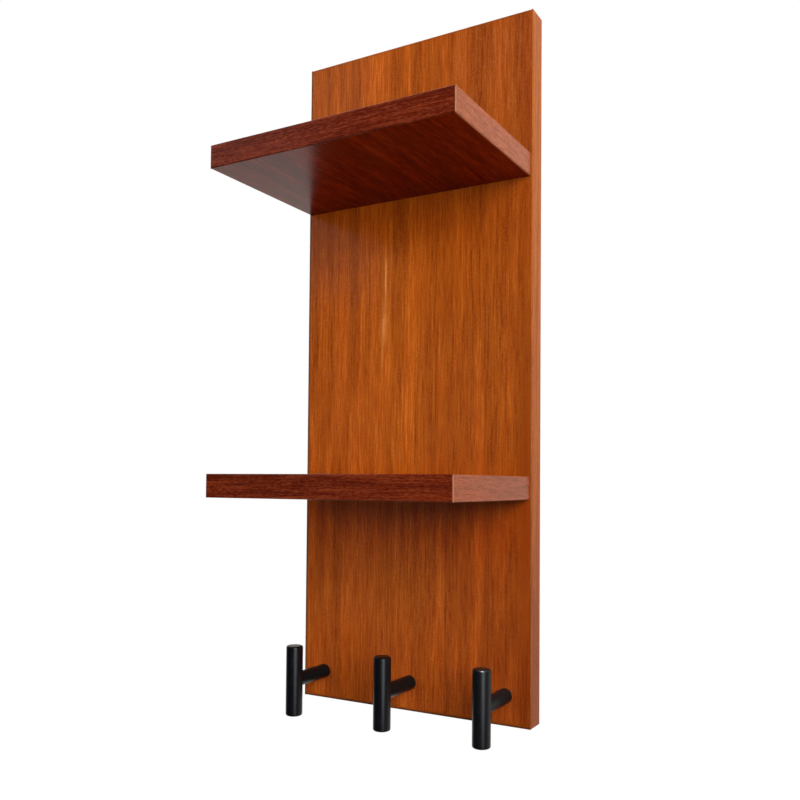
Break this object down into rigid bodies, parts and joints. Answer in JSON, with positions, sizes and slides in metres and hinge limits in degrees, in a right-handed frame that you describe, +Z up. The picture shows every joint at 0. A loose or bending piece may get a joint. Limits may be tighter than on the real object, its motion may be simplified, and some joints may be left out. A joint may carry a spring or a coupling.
{
  "type": "wall shelf with hooks",
  "caption": "Wall shelf with a tall wooden back panel, short cantilevered shelves and black T-bar hooks along its lower edge, hung on two keyholes in its back.",
  "frame": {"origin": "centre of the back panel's back face, on the wall plane", "axes": "+Z up along the panel, +Y into the wall, +X to the right as seen from the front"},
  "size_m": [0.2, 0.142, 0.531],
  "materials": {
    "panel_veneer": "satin lacquered orange-brown veneer",
    "panel_edge": "satin lacquered veneer edge",
    "shelf_veneer": "satin lacquered dark red-brown veneer",
    "shelf_edge": "satin lacquered dark red-brown veneer edge",
    "black_metal": "satin black",
    "zinc_steel": "bright zinc",
    "beech": "raw"
  },
  "bodies": {
    "root": {"back_panel": "panel_veneer", "back_panel_band_top": "panel_edge", "back_panel_band_bottom": "panel_edge", "back_panel_band_left": "panel_edge", "back_panel_band_right": "panel_edge", "upper_shelf": "shelf_veneer", "upper_shelf_band_left": "shelf_edge", "upper_shelf_band_right": "shelf_edge", "upper_shelf_band_front": "shelf_edge", "upper_shelf_screws": "zinc_steel", "upper_shelf_dowels": "beech", "lower_shelf": "shelf_veneer", "lower_shelf_band_left": "shelf_edge", "lower_shelf_band_right": "shelf_edge", "lower_shelf_band_front": "shelf_edge", "lower_shelf_screws": "zinc_steel", "lower_shelf_dowels": "beech", "hook_bar_left": "black_metal", "hook_post_left": "black_metal", "hook_bar_middle": "black_metal", "hook_post_middle": "black_metal", "hook_bar_right": "black_metal", "hook_post_right": "black_metal", "hook_screws": "zinc_steel"}
  },
  "joints": []
}
